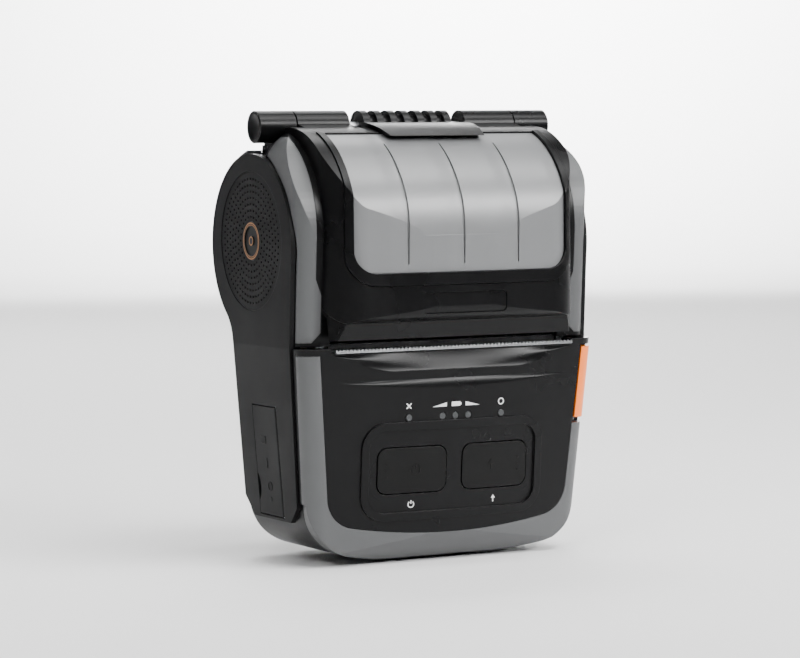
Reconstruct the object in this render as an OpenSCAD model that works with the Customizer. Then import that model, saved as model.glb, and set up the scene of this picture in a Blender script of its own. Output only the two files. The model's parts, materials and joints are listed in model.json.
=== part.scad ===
// Portable receipt printer, standing upright on its lower end.
// +Z runs up the body, the front faces -Y and the viewer's right is +X.
// The origin is the centre of the flat that it stands on.

/* [Body] */
// Half the width of the body at the paper slit
half_w = 51.4; // [50:0.2:56]
// Height of the paper slit above the standing face
slit_z = 67; // [66:0.5:70]
// Depth of the front face ahead of the origin at the slit
front_y = 26.1; // [25:0.1:28]
// Lean of the front face, in degrees
lean = 5; // [3:0.5:6]
// Taper of each side below the slit, in degrees
taper = 4.3; // [3:0.1:5]
// Crown radius of the front face
crown_r = 390; // [300:10:600]
// Radius of the upright front corners
corner_r = 6; // [5:0.5:8]
// Rear face of the lower body behind the origin
rear_y = 25; // [24.5:0.1:27]
// Radius along the lower front edge
toe_r = 12; // [10:0.5:13]
// Wall thickness of the mouldings
wall = 2.4; // [2:0.1:3]

/* [Roll barrel] */
// Centre of the roll bay behind the origin
bay_y = 11.1; // [10.5:0.1:12]
// Height of the roll centre
bay_z = 97.6; // [97:0.1:99]
// Outer radius of the barrel and its side caps
barrel_r = 28.4; // [28:0.1:30]
// Radius of the round bay that holds the roll
bay_r = 25.9; // [25:0.1:26]
// Width of the roll bay
bay_w = 81; // [80.5:0.1:82]
// Thickness of the side caps
cap_t = 1.5; // [1.2:0.1:2]

/* [Cover] */
// Half the width of the raised panel on the cover
panel_half_w = 43.4; // [42:0.1:44.5]
// Front of the raised panel ahead of the origin
panel_y = 31.3; // [30:0.1:32]
// Radius of the raised panel over the roll
panel_r = 33.2; // [32:0.1:34]
// Half the width of the gray window
window_half_w = 37; // [34:0.5:38]
// Lower edge of the gray window
window_z = 89.6; // [88:0.2:92]
// Outer radius of the hinge knuckles
hinge_r = 5; // [4.6:0.1:5.2]
// Radius of the hinge pin
hinge_pin_r = 1.5; // [1.2:0.1:2]
// Height of the hinge pin
hinge_z = 134.2; // [134:0.1:136]
// Distance of the hinge pin behind the origin
hinge_y = 9.5; // [9:0.1:10]
// Gap between the cover and the body
cover_gap = 0.4; // [0.3:0.05:0.6]

/* [Mechanism] */
// Radius of the rubber platen roller
platen_r = 5.5; // [5:0.1:6]
// Radius of the platen shaft
shaft_r = 2; // [1.5:0.1:2.5]
// Gear module
gear_mod = 0.5; // [0.45:0.01:0.52]
// Teeth on the platen gear
platen_teeth = 18; // [16:1:19]
// Teeth on the idler gear
idler_teeth = 32; // [28:1:34]
// Teeth on the motor pinion
pinion_teeth = 12; // [10:1:14]
// Width of the gears
gear_w = 2.6; // [2:0.1:2.8]
// Running clearance of turning parts
run_gap = 0.06; // [0.04:0.01:0.1]

/* [Controls] */
// Width of each button
button_w = 23.2; // [22:0.2:24.6]
// Height of each button
button_h = 14; // [12:0.2:15]
// Gap around each button
button_gap = 0.35; // [0.3:0.05:0.5]
// Travel of each button
button_travel = 0.8; // [0.5:0.1:1]
// Height of the button centres
button_z = 28.8; // [28:0.1:30]
// Height of the status lights
light_z = 45; // [44:0.1:46]
// Length of the release button along the right front corner
key_h = 22.5; // [20:0.5:23]
// Distance of its middle below the slit, along the corner
key_down = 10.7; // [10.4:0.1:11.4]
// Travel of the release button
key_travel = 1.5; // [1:0.1:1.8]

/* [Power] */
// Width of the battery pack
battery_w = 62; // [58:0.5:64]
// Height of the battery pack
battery_h = 51; // [48:0.5:52]
// Depth of the battery pack
battery_d = 17.5; // [16:0.1:18]

/* [Hidden] */
$fn = 96;
far = 200;
e = 0.01;
fit = 0.1;
seat = 0.3;
black = "#1b1b1c";
charcoal = "#333335";
gray = "#77787a";

crown_y = crown_r - front_y;
cap_in = half_w - 0.7;
cap_out = cap_in + cap_t;
leg_blend = 14;
heel_r = 9;
foot_drop = 0.6;
belly_r = 175;
belly_corner = 17;
belly_x = half_w - (slit_z - 13) * tan(taper);
panel_c = [2, 100.8];
strip_r = 31;
strip_c = [10, 102.5];
lip_z = slit_z + 2.4;
bay_wall = bay_w / 2;

// Turns a (y, z) outline into a solid w wide, centred on x = 0
module across(w) rotate([90, 0, 90]) translate([0, 0, -w / 2]) linear_extrude(w) children();

// The same solid, from x = a to x = b
module between(a, b) rotate([90, 0, 90]) translate([0, 0, a]) linear_extrude(b - a) children();

// Turns an (x, z) outline into a solid from y = a to y = b
module depth(a, b) translate([0, b, 0]) rotate([90, 0, 0]) linear_extrude(b - a) children();

// A copy on each side of x = 0
module both_sides() { children(); mirror([1, 0, 0]) children(); }

// Rectangle with round corners, centred
module round_rect(w, h, r) {
    square([w - 2 * r, h], center = true);
    square([w, h - 2 * r], center = true);
    for (x = [-1, 1], z = [-1, 1]) translate([x * (w / 2 - r), z * (h / 2 - r)]) circle(r);
}

// Cylinder along X, from x = a to x = b, centred on (y, z)
module bar(a, b, y, z, r) translate([a, y, z]) rotate([0, 90, 0]) cylinder(r = r, h = b - a);

// Box from its lowest to its highest corner
module block(lo, hi) translate(lo) cube(hi - lo);

// Point on the line of the leaning front, at height z and depth d behind the front face
function lean_y(z, d = 0) = -front_y + d + (slit_z - z) * tan(lean);

// Upright section of the body: crowned front and one round corner, the other side left long
module plan_half(d) {
    cx = half_w - corner_r;
    cy = crown_y - sqrt(pow(crown_r - corner_r, 2) - cx * cx);
    tx = cx * crown_r / (crown_r - corner_r);
    intersection() {
        translate([0, crown_y]) circle(crown_r - d, $fn = 720);
        translate([-80, -60]) square([80 + tx, 60 + cy + e]);
    }
    translate([-80, cy]) square([80 + half_w - d, 80]);
    translate([cx, cy]) circle(corner_r - d);
}

// The leaning, tapering prism that bounds one side of the lower body
module lean_prism(d) translate([0, -front_y, slit_z]) rotate([lean, 0, 0]) rotate([0, taper, 0])
    translate([0, front_y, -far / 2]) linear_extrude(far) plan_half(d);

toe_y = lean_y(toe_r) + toe_r;

// Side outline of the lower body, with its round toe and heel
module side_low(d) {
    translate([-80, toe_r]) square([80 + toe_y + e, 100]);
    translate([toe_y, d]) square([rear_y - heel_r - toe_y, 100]);
    translate([rear_y - heel_r - e, heel_r]) square([heel_r - d + e, 100]);
    translate([toe_y, toe_r]) circle(toe_r - d);
    translate([rear_y - heel_r, heel_r]) circle(heel_r - d);
}

// Front outline of the lower body: a shallow belly with round corners
module front_low(d) {
    cx = belly_x - belly_corner;
    by = belly_r - foot_drop;
    cz = by - sqrt(pow(belly_r - belly_corner, 2) - cx * cx);
    tx = cx * belly_r / (belly_r - belly_corner);
    intersection() {
        translate([0, by]) circle(belly_r - d, $fn = 720);
        translate([-tx, -5]) square([2 * tx, 5 + cz + e]);
    }
    translate([-80, cz]) square([160, 100]);
    for (s = [-1, 1]) translate([s * cx, cz]) circle(belly_corner - d);
}

// The outside of the lower body, drawn in by d, up to height top
module lower_form(d, top = slit_z) {
    intersection() {
        lean_prism(d);
        mirror([1, 0, 0]) lean_prism(d);
        across(140) side_low(d);
        depth(-60, 60) front_low(d);
        block([-80, -60, -5], [80, 60, top]);
    }
}

blend_y = rear_y + leg_blend;
blend_z = bay_z - sqrt(pow(barrel_r + leg_blend, 2) - pow(blend_y - bay_y, 2));
blend_share = barrel_r / (barrel_r + leg_blend);
cap_toe = [lean_y(16) + 10.3, 13];
cap_front = bay_y - barrel_r;

// Side outline of the leg under the barrel, drawn in by d
module leg_outline(d) {
    touch = [bay_y + (blend_y - bay_y) * blend_share, bay_z + (blend_z - bay_z) * blend_share];
    difference() {
        polygon([[cap_front + d + 0.02, bay_z], [bay_y, bay_z], touch, [blend_y, blend_z],
            [rear_y - d, blend_z], [rear_y - d, cap_toe.y + 6], [rear_y - 6, cap_toe.y + d],
            [cap_toe.x + 5, cap_toe.y + d], [cap_toe.x + d, cap_toe.y + 5]]);
        translate([blend_y, blend_z]) circle(leg_blend + d + 0.02);
    }
}

// The barrel on its leg, from x = -w / 2 to x = w / 2, drawn in by d
module barrel_form(w, d) {
    across(w) leg_outline(d);
    bar(-w / 2, w / 2, bay_y, bay_z, barrel_r - d);
}

// Front outline of one flank: upright over the slit, tapering below it, between two distances
module flank(inner, outer) polygon([[inner, 160], [outer, 160], [outer, slit_z],
    [outer - slit_z * tan(taper), 0], [inner - slit_z * tan(taper), 0], [inner, slit_z]]);

// A side cap on the right, grown by g at its edge
module cap_blank(g = 0) intersection() {
    barrel_form(140, -g);
    depth(-60, 60) flank(cap_in - g / 5, cap_out);
}

skin = 2;
seam = 8.5;
// Region ahead of the leaning seam behind the front corners, which draws forward under the toe
module ahead(gap = 0) across(160) polygon([[lean_y(-10, seam - 3.8 - gap), -10], [lean_y(10, seam - gap), 10],
    [lean_y(160, seam - gap), 160], [-90, 160], [-90, -10]]);

panel_top = slit_z - 1.5;
rim_low = slit_z - 1.95;
rim_x = 42.2;
face_half_w = half_w - 5.4;
face_taper = taper + 0.6;
face_low = 8.8;
face_belly = 200;
face_corner = 10;
// Centre of the round corner that joins the side of the front panel to its curved lower edge
face_a = tan(face_taper);
face_b = face_half_w - slit_z * face_a - face_corner / cos(face_taper);
face_h = face_low + face_belly;
face_half = face_h - face_a * face_b;
face_c = face_b * face_b + face_h * face_h - pow(face_belly - face_corner, 2);
face_cz = (face_half - sqrt(face_half * face_half - (1 + face_a * face_a) * face_c)) / (1 + face_a * face_a);
face_cx = face_b + face_a * face_cz;

// Outline of the black front panel inside the gray bumper, grown by g
module panel_outline(g = 0) {
    foot_x = face_half_w - slit_z * face_a;
    top_x = face_half_w + 5 * face_a;
    reach = face_corner + 8;
    down = atan2(face_cx, face_h - face_cz);
    difference() {
        intersection() {
            polygon([[-top_x - g, slit_z + 5], [top_x + g, slit_z + 5], [foot_x + g, 0], [-foot_x - g, 0]]);
            translate([0, face_h]) circle(face_belly + g, $fn = 720);
        }
        for (s = [-1, 1]) scale([s, 1]) translate([face_cx, face_cz]) difference() {
            polygon([[0, 0], reach * [cos(face_taper), -sin(face_taper)], [2 * reach, -2 * reach],
                reach * [sin(down), -cos(down)]]);
            circle(face_corner + g + 0.02);
        }
    }
}

// The front panel seen from the front, with the rim that closes the slit at both ends
module panel_face() {
    intersection() {
        panel_outline();
        translate([-60, 0]) square([120, panel_top]);
    }
    for (s = [-1, 1]) scale([s, 1]) {
        translate([rim_x, slit_z - 3.2]) square([3.3, 3.2]);
        translate([rim_x, rim_low]) square([half_w - rim_x + 1, slit_z - rim_low]);
    }
}

platen_y = -11.5;
platen_z = lip_z + 4.2;
idler_dist = gear_mod * (platen_teeth + idler_teeth) / 2;
pinion_dist = gear_mod * (idler_teeth + pinion_teeth) / 2;
idler_dir = -56;
pinion_dir = -79;
idler_y = platen_y + idler_dist * cos(idler_dir);
idler_z = platen_z + idler_dist * sin(idler_dir);
pinion_y = idler_y + pinion_dist * cos(pinion_dir);
pinion_z = idler_z + pinion_dist * sin(pinion_dir);
gear_x = -half_w + 5.4;
plate_x = 42.7;
plate_t = 1.2;
open_dir = atan2(hinge_y - platen_y, hinge_z - platen_z);

// Track that a round part at the platen leaves by when the cover opens
module platen_track(r) {
    translate([platen_y, platen_z]) circle(r);
    translate([platen_y, platen_z]) rotate(180 - open_dir) translate([0, 0.15 - r]) square([40, 2 * r - 0.3]);
}

battery_front = rear_y + 2.6 - battery_d;
battery_low = 5;
port_y = 6.3;
port_z = 31.3;
port_w = 17;
port_h = 34.6;
port_depth = 3.6;
key_x = half_w - 5;
key_out = 0.4;
key_rib = 3.7;

// Places its children in the plan of the right front corner, with +Z up along its edge
module on_corner() translate([0, -front_y, slit_z]) rotate([lean, 0, 0]) rotate([0, taper, 0])
    translate([0, front_y, 0]) children();

// Places its children on the right flank below the slit, with +X out of the face
module on_flank(z) translate([cap_in - (slit_z - z) * tan(taper), 0, z]) rotate([0, taper, 0]) children();
module on_left_flank(z) mirror([1, 0, 0]) on_flank(z) children();

module main_housing() color(black) difference() {
    union() {
        difference() {
            union() {
                lower_form(skin + fit);
                difference() {
                    lower_form(0);
                    ahead(-fit);
                }
                intersection() {
                    barrel_form(2 * cap_in, seat);
                    block([-80, -60, slit_z - 1], [80, 80, 140]);
                }
                between(-cap_in + 5, cap_in - 5) polygon([[hinge_y - 5, bay_z + 20], [hinge_y + 8, bay_z + 20],
                    [hinge_y + 6, hinge_z - hinge_r - 0.6], [hinge_y - 5, hinge_z - hinge_r - 0.6]]);
            }
            lower_form(skin + fit + wall, slit_z - 1);
        }
        block([-battery_w / 2 - seat - wall, battery_front - seat - wall, 3],
            [battery_w / 2 + seat + wall, rear_y - 2, battery_low + battery_h + seat + wall]);
        on_left_flank(port_z) block([-port_depth - 1.2, port_y - port_w / 2 - 1.4, -port_h / 2 - 1.4],
            [-1, port_y + port_w / 2 + 1.4, port_h / 2 + 1.4]);
        main_board_holes() translate([0, 0, board_t]) cylinder(r = 2.6, h = battery_front - seat - main_y - 2);
    }
    main_board_holes() cylinder(r = 1.2, h = 5);
    both_sides() cap_blank(fit);
    bar(-bay_wall, bay_wall, bay_y, bay_z, bay_r);
    between(-bay_wall, bay_wall) polygon([[-60, slit_z - 6], [1, slit_z - 6], [1, bay_z - bay_r - 0.8],
        [-5, bay_z - 20], [hinge_y - 6, bay_z], [hinge_y - 6, 145], [-60, 145]]);
    both_sides() between(bay_wall - e, cap_in - 2.3) polygon([[-60, slit_z - 8], [4.5, slit_z - 8],
        [4.5, platen_z + 1], [platen_y + 7, platen_z + 6.4], [-60, platen_z + 24]]);
    between(-60, 60) polygon([[-60, slit_z], [lean_y(slit_z) + 9, slit_z],
        [cap_front + seat, bay_z], [cap_front + seat, 145], [-60, 145]]);
    between(-cap_in + 2.3, -plate_x) {
        translate([idler_y, idler_z]) circle(9);
        translate([pinion_y, pinion_z]) circle(4.6);
    }
    block([-38, -60, 13], [38, -12, slit_z + 1]);
    block([-plate_x - 2, -60, slit_z - 11], [plate_x + 2, -8, slit_z + 1]);
    block([-battery_w / 2 - seat, battery_front - seat, battery_low - seat],
        [battery_w / 2 + seat, 60, battery_low + battery_h + seat]);
    latch_slot();
    on_left_flank(port_z) block([-port_depth, port_y - port_w / 2, -port_h / 2], [20, port_y + port_w / 2, port_h / 2]);
    on_left_flank(port_z) socket_holes(fit);
    key_stem(0.3, key_travel);
    bar(-cap_in + 5 - e, cap_in - 5 + e, hinge_y, hinge_z, hinge_r + 0.5);
    port_pin_solid();
    screw_places() translate([0, 0, -1]) cylinder(r = 1.3, h = 12);
}

module latch_slot() {
    top = battery_low + battery_h;
    block([-8.3, rear_y - 5, top], [8.3, rear_y + 20, top + 8.6]);
    block([-3, rear_y - 9, top + 1.6], [3, rear_y - 4, top + 10]);
}

// Runs its children at each of the four screws that hold the halves of the case
module screw_places() for (x = [-36, 36], z = [14, 60]) translate([x, rear_y + 0.02, z]) rotate([90, 0, 0]) children();

module housing_screws() color("#8a8c90") screw_places() difference() {
    union() {
        translate([0, 0, -0.6]) cylinder(r = 2.3, h = 0.6);
        cylinder(r = 1.3 - run_gap, h = 8);
    }
    translate([0, 0, -0.61]) cylinder(r = 1, h = 0.9, $fn = 6);
}

module lower_bumper() color(gray) difference() {
    intersection() {
        lower_form(0, rim_low - fit);
        ahead();
    }
    lower_form(skin);
    depth(-60, 60) panel_outline(fit);
    on_corner() translate([key_x - 3, -60, -key_down - key_h / 2 - key_travel - seat])
        cube([20, 60, 2 * key_h]);
}

button_x = button_w / 2 + 2.9;
ring_w = 2 * (button_x + button_w / 2) + 11.2;
ring_h = button_h + 16.4;
ring_t = 2.5;

// Outline of a button, with its outer corners rounder than its inner ones
module button_outline(g = 0) {
    translate([button_x, 0]) round_rect(button_w + 2 * g, button_h + 2 * g, 3 + g);
}

module front_panel() color(black) {
    difference() {
        union() {
            intersection() {
                difference() {
                    lower_form(0);
                    lower_form(skin);
                }
                depth(-60, 0) panel_face();
                ahead(fit);
            }
            intersection() {
                lower_form(0.3);
                both_sides() block([rim_x, -60, slit_z - 2.5], [plate_x + 1.6, platen_y - 6, slit_z]);
            }
            intersection() {
                difference() {
                    lower_form(-0.8);
                    lower_form(1);
                }
                depth(-60, 0) translate([0, button_z - 0.3]) difference() {
                    round_rect(ring_w, ring_h, 8);
                    round_rect(ring_w - 2 * ring_t, ring_h - 2 * ring_t, 8 - ring_t);
                }
            }
            both_sides() translate([button_x, 0, button_z])
                depth(lean_y(button_z, skin - 0.2), lean_y(button_z, skin + 1.5)) difference() {
                    round_rect(button_w + 4, button_h + 4, 4);
                    round_rect(button_w + 2 * button_gap + 1.4, button_h + 2 * button_gap + 1.4, 3);
                }
            intersection() {
                control_board_holes() translate([0, 0, board_t]) cylinder(r = 2.6, h = 12);
                lower_form(1);
            }
        }
        control_board_holes() cylinder(r = 1.2, h = board_t + 3.2);
        both_sides() translate([0, 0, button_z]) depth(-60, 0) button_outline(button_gap);
        for (x = light_xs) translate([x, 0, light_z]) rotate([90, 0, 0]) cylinder(r = 1 + fit, h = 60);
        intersection() {
            bar(-half_w + 8.6, half_w - 8.6, lean_y(slit_z - 4) - 6.5, slit_z - 4.6, 8);
            block([-60, -60, slit_z - 7.5], [60, 0, slit_z]);
        }
    }
}

light_xs = [-16.2, -4.5, 0, 4.5, 16.2];
board_y = -16.4;
module status_lights() color("#8f9496") for (x = light_xs)
    translate([x, board_y, light_z]) rotate([90, 0, 0]) cylinder(r = 1, h = -lean_y(light_z) + board_y - 0.1);

module control_board() color("#2f6b4a") {
    difference() {
        block([-35, board_y, 17], [35, board_y + board_t, 52]);
        control_board_holes() translate([0, 0, -1]) cylinder(r = 1.2, h = 4);
    }
    block([-12, board_y + board_t - e, 24], [12, board_y + 2.8, 34]);
}

module button_domes() color("#b9bcc0") both_sides()
    translate([button_x, board_y - 0.01, button_z]) rotate([90, 0, 0]) {
        cylinder(r = 3, h = 0.5);
        cylinder(r = 1.6, h = 0.9);
    }

module button_body() {
    difference() {
        intersection() {
            lower_form(-0.2);
            depth(-60, board_y - 0.95 - button_travel - 0.4) translate([0, button_z]) button_outline();
        }
        translate([0, 0, button_z]) depth(lean_y(button_z, 1.8), 0) translate([button_x, 0])
            round_rect(button_w - 3, button_h - 3, 2);
    }
    translate([button_x, board_y - 0.95 - button_travel - 0.1, button_z]) rotate([90, 0, 0])
        cylinder(r = 1.6, h = -lean_y(button_z, 1.3) + board_y - 1 - button_travel);
}
module power_button() color("#161617") mirror([1, 0, 0]) button_body();
module feed_button() color("#161617") button_body();

module rear_bumpers() color(gray) both_sides() difference() {
    translate([cap_in - 7, bay_y, bay_z]) rotate([0, 90, 0]) rotate_extrude() {
        translate([barrel_r - seat, 0]) square([1.5, 6.9]);
        translate([barrel_r - seat, 1]) square([2.2, 4.9]);
    }
    block([0, -60, 0], [60, 60, bay_z - 10]);
    block([0, -60, 0], [60, hinge_y + 8.6, 200]);
}

module left_side_cap() color(charcoal) mirror([1, 0, 0]) difference() {
    cap_blank();
    mirror([1, 0, 0]) port_pin_solid();
    on_flank(port_z) block([-9, port_y - port_w / 2, -port_h / 2], [20, port_y + port_w / 2, port_h / 2]);
    translate([cap_out - grille_deep, bay_y, grille_z]) rotate([0, 90, 0]) cylinder(r = grille_r + 0.05, h = 2);
}

module right_side_cap() color(charcoal) cap_blank();

grille_r = 21.4;
grille_z = bay_z + 1.5;
grille_deep = 0.9;
badge_r = 6;
hole_r = 0.4;
hole_pitch = 1.95;

// Runs its children on the floor of the recess in the left cap, with +Z outwards
module on_grille() translate([-cap_out + grille_deep, bay_y, grille_z]) rotate([0, -90, 0]) children();

// Disc over the beeper, with rings of fine holes round the badge
module sound_grille() color(charcoal) on_grille() linear_extrude(grille_deep - 0.2) difference() {
    circle(grille_r);
    circle(badge_r + 0.05);
    for (ring = [badge_r + 1.5 : hole_pitch : grille_r - 1.5]) {
        count = floor(2 * PI * ring / hole_pitch);
        for (i = [0 : count - 1]) rotate(360 * i / count) translate([ring, 0]) circle(hole_r);
    }
}

module side_badge() color("#b98a6a") on_grille() {
    difference() {
        cylinder(r = badge_r, h = grille_deep - 0.1);
        translate([0, 0, 0.4]) cylinder(r = badge_r - 1.4, h = 1);
    }
    cylinder(r = 1.6, h = grille_deep - 0.1);
}

strip_front = strip_c.x - strip_r;
brow_r = 14;
strip_lean = atan((-strip_front - 18.2) / (strip_c.y - slit_z));

// Section of the cover across its width, with round shoulders, drawn in by d
module strip_section(d) {
    translate([-half_w + corner_r, 0]) square([2 * (half_w - corner_r), strip_r - d]);
    translate([-half_w + d, 0]) square([2 * (half_w - d), strip_r - corner_r]);
    for (s = [-1, 1]) translate([s * (half_w - corner_r), strip_r - corner_r]) circle(corner_r - d);
}

// Side outline of the cover without its raised panel: an arc on a leaning line
module strip_side(d) {
    touch = strip_c + (strip_r - d - 0.02) * [-cos(strip_lean), -sin(strip_lean)];
    foot = touch + 50 * [sin(strip_lean), -cos(strip_lean)];
    translate(strip_c) circle(strip_r - d);
    polygon([strip_c, touch, foot, [strip_c.x + 20, foot.y]]);
}

// The cover without its raised panel, drawn in by d
module cover_base(d) intersection() {
    across(140) strip_side(d);
    translate([0, strip_c.x, strip_c.y]) rotate([strip_lean, 0, 0]) translate([0, 0, -60]) linear_extrude(120)
        mirror([0, 1]) strip_section(d);
    depth(-60, 60) {
        translate([-half_w + brow_r, 0]) square([2 * (half_w - brow_r), strip_c.y + strip_r - d]);
        translate([-half_w + d, 0]) square([2 * half_w - 2 * d, strip_c.y + strip_r - brow_r]);
        for (s = [-1, 1]) translate([s * (half_w - brow_r), strip_c.y + strip_r - brow_r]) circle(brow_r - d);
    }
    block([-80, -60, slit_z + cover_gap + 0.1], [80, hinge_y - 5.6, 160]);
}

panel_low = slit_z + 7.5;
panel_corner = 12;
// Side outline of the raised panel, drawn in by d
module panel_side(d) {
    translate(panel_c) circle(panel_r - d);
    translate([-panel_y + 5, panel_low]) square([30, panel_c.y - panel_low]);
    translate([-panel_y + d, panel_low + 5]) square([30, panel_c.y - panel_low - 5]);
    translate([-panel_y + 5, panel_low + 5]) circle(5 - d);
}

// Plan of the raised panel with its convex shoulders
module panel_plan(d) {
    cx = panel_half_w - panel_corner;
    yc = crown_r - panel_y - 0.15;
    cy = yc - sqrt(pow(crown_r - panel_corner, 2) - cx * cx);
    tx = cx * crown_r / (crown_r - panel_corner);
    intersection() {
        translate([0, yc]) circle(crown_r - d, $fn = 720);
        translate([-tx, -60]) square([2 * tx, 60 + cy + e]);
    }
    translate([-panel_half_w + d, cy]) square([2 * (panel_half_w - d), 80]);
    for (s = [-1, 1]) translate([s * cx, cy]) circle(panel_corner - d);
}

// The raised panel of the cover, drawn in by d
module panel_form(d) intersection() {
    across(140) panel_side(d);
    translate([0, 0, slit_z]) linear_extrude(90) panel_plan(d);
    depth(-60, 60) {
        translate([-panel_half_w + 6, panel_low]) square([2 * panel_half_w - 12, 90]);
        translate([-panel_half_w, panel_low + 6]) square([2 * panel_half_w, 90]);
        for (s = [-1, 1]) translate([s * (panel_half_w - 6), panel_low + 6]) circle(6);
    }
    block([-80, -60, 0], [80, hinge_y - 5.6, 160]);
}

// The lower lip that draws back from the raised panel to the slit
module cover_lip() intersection() {
    across(2 * panel_half_w - 2) polygon([[-27.4, panel_low + 1.5], [lean_y(lip_z) + 1.4, lip_z],
        [lean_y(lip_z) + 4.4, lip_z], [-20, platen_z + 8], [-20, panel_low + 6], [-27.4, panel_low + 6]]);
    linear_extrude(160) panel_plan(0.6);
}

panel_wall = 3.8;
frame_drop = 1.5;
strip_low = slit_z + 1.7;
// Outline of a gray strip seen from the front, grown by g
module strip_outline(g = 0) polygon([[half_w - 5 - g, strip_low - g], [half_w - 8 - g, strip_low + 3],
    [half_w - 8 - g, slit_z + 16], [half_w - 6 - g, slit_z + 21], [half_w - 6 - g, 200], [80, 200], [80, strip_low - g]]);

module strip_solid(g = 0) intersection() {
    difference() {
        cover_base(-g);
        cover_base(1.6 + g);
    }
    depth(-60, hinge_y - 6.6 + g) strip_outline(g);
}

module cover_bumpers() color(gray) both_sides() difference() {
    strip_solid();
    cap_clear();
    bar(0, cap_in - 2.4, platen_y, platen_z, 5.6);
}

// Room on the right for the side of the body, so that the cover closes over it
module cap_clear() intersection() {
    barrel_form(160, -cover_gap);
    block([bay_wall - cover_gap, -80, -10], [80, 80, 160]);
}

// Outline of the window seen from the front, grown by g and drawn down by drop
module window_outline(g = 0, drop = 0) translate([0, window_z + 30 - drop / 2])
    round_rect(2 * window_half_w + 2 * g, 60 + 2 * g + drop, 7 + g);

module window_zone(g, out, in, drop = 0) intersection() {
    difference() {
        panel_form(out);
        panel_form(in);
    }
    depth(-60, panel_c.x - 11) window_outline(g, drop);
}

module cover_shell() color(black) {
    difference() {
        union() {
            cover_base(0);
            panel_form(0);
            cover_lip();
        }
        intersection() {
            between(-bay_wall + cover_gap, bay_wall - cover_gap) {
                translate(panel_c) circle(panel_r - panel_wall);
                polygon([[-panel_y + panel_wall, panel_c.y], [-panel_y + panel_wall, panel_low + 6],
                    [lean_y(lip_z) + 5.6, panel_low], [lean_y(lip_z) + 5.6, 0], [40, 0], [40, panel_c.y]]);
                translate([0, bay_z]) square([30, 40 - wall]);
            }
            linear_extrude(160) panel_plan(2.1);
        }
        both_sides() cap_clear();
        both_sides() bar(bay_wall - cover_gap, cap_in - 2.4, platen_y, platen_z, 5.8);
        both_sides() between(bay_wall - cover_gap, plate_x + plate_t + 0.8) polygon([[platen_y - 5.5, 60], [0, 60],
            [0, platen_z + 5], [platen_y - 5.5, platen_z + 5]]);
        both_sides() strip_solid(0.05);
        window_zone(2.4, -1, 2.2, frame_drop);
        block([-20, hinge_y - 7.5, hinge_z - 12], [20, 60, hinge_z + 20]);
        bar(-60, 60, hinge_y, hinge_z, hinge_r + 0.5);
        name_seat(0.05);
    }
    both_sides() cover_knuckle();
    window_tab();
}

// The cover's own half of the hinge on the right, with its web
module cover_knuckle() difference() {
    union() {
        bar(20.6, 38.6, hinge_y, hinge_z, hinge_r);
        between(20.6, 38.6) polygon([[hinge_y - 13, hinge_z - 3.6], [hinge_y, hinge_z - 4], [hinge_y, hinge_z + 2],
            [hinge_y - 13, hinge_z - 1.2]]);
    }
    bar(0, 60, hinge_y, hinge_z, hinge_pin_r + run_gap);
}

module window_tab() intersection() {
    difference() {
        panel_form(-1.4);
        panel_form(0.4);
    }
    depth(-60, hinge_y - 7.6) polygon([[-20.5, 140], [-16.5, 131], [16.5, 131], [20.5, 140]]);
}

module window_frame() color("#151516") difference() {
    window_zone(2.3, -0.45, 2.15, frame_drop);
    depth(-60, 60) window_outline(0.1);
    window_tab();
}

groove_xs = [-19.2, 0, 19.2];
module cover_window() color("#a5a7a9") difference() {
    window_zone(0, 0.5, 2.15);
    difference() {
        for (x = groove_xs) depth(-60, 0) translate([x, window_z + 2.5]) polygon([[-0.2, 0], [0.2, 0],
            [0.65, 19.5], [0.2, 36.5], [-0.2, 36.5], [-0.65, 19.5]]);
        panel_form(1.1);
    }
    window_tab();
}

module name_seat(g) intersection() {
    difference() {
        panel_form(-1);
        panel_form(0.7 + g);
    }
    depth(-60, 0) translate([0, window_z - 9.4]) round_rect(29 + 2 * g, 6.4 + 2 * g, 1.2 + g);
}

module name_plate() color("#222224") difference() {
    name_seat(0);
    difference() {
        panel_form(-2);
        panel_form(0.3);
    }
}

module hinge_knuckles() color(black) both_sides() difference() {
    union() {
        bar(39, half_w - 0.1, hinge_y, hinge_z, hinge_r);
        between(39, cap_in - 5.4) polygon([[hinge_y - 2, hinge_z - 2], [hinge_y - 3.4, hinge_z - hinge_r - 0.6],
            [hinge_y + 5.6, hinge_z - hinge_r - 0.6], [hinge_y + 4.9, hinge_z]]);
    }
    bar(30, half_w - 2.4, hinge_y, hinge_z, hinge_pin_r);
    translate([half_w + 6, hinge_y, hinge_z]) sphere(r = 7.3);
}

module hinge_barrel() color(black) difference() {
    union() {
        bar(-15.6, 15.6, hinge_y, hinge_z, hinge_r - 1.5);
        for (i = [-3 : 3]) bar(i * 4.8 - 1.2, i * 4.8 + 1.2, hinge_y, hinge_z, hinge_r);
        between(-15.6, 15.6) polygon([[hinge_y - 1, hinge_z - 2], [hinge_y - 3, hinge_z - hinge_r - 0.6],
            [hinge_y + 5, hinge_z - hinge_r - 0.6], [hinge_y + 3.2, hinge_z]]);
    }
    bar(-20, 20, hinge_y, hinge_z, hinge_pin_r);
}

module hinge_pin() color("#b4b6b9") bar(-half_w + 2.6, half_w - 2.6, hinge_y, hinge_z, hinge_pin_r);

module platen_bearings() color("#c9c4b4") both_sides() difference() {
    bar(bay_wall + 0.6, plate_x + plate_t + 0.3, platen_y, platen_z, 3.4);
    bar(0, 60, platen_y, platen_z, shaft_r + run_gap);
}

module platen_shaft() color("#b4b6b9")
    bar(gear_x - gear_w / 2 - 0.2, plate_x + 2.6, platen_y, platen_z, shaft_r);

module platen_roller() color("#222222") difference() {
    bar(-bay_wall + 0.7, bay_wall - 0.7, platen_y, platen_z, platen_r);
    bar(-60, 60, platen_y, platen_z, shaft_r);
}

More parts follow.
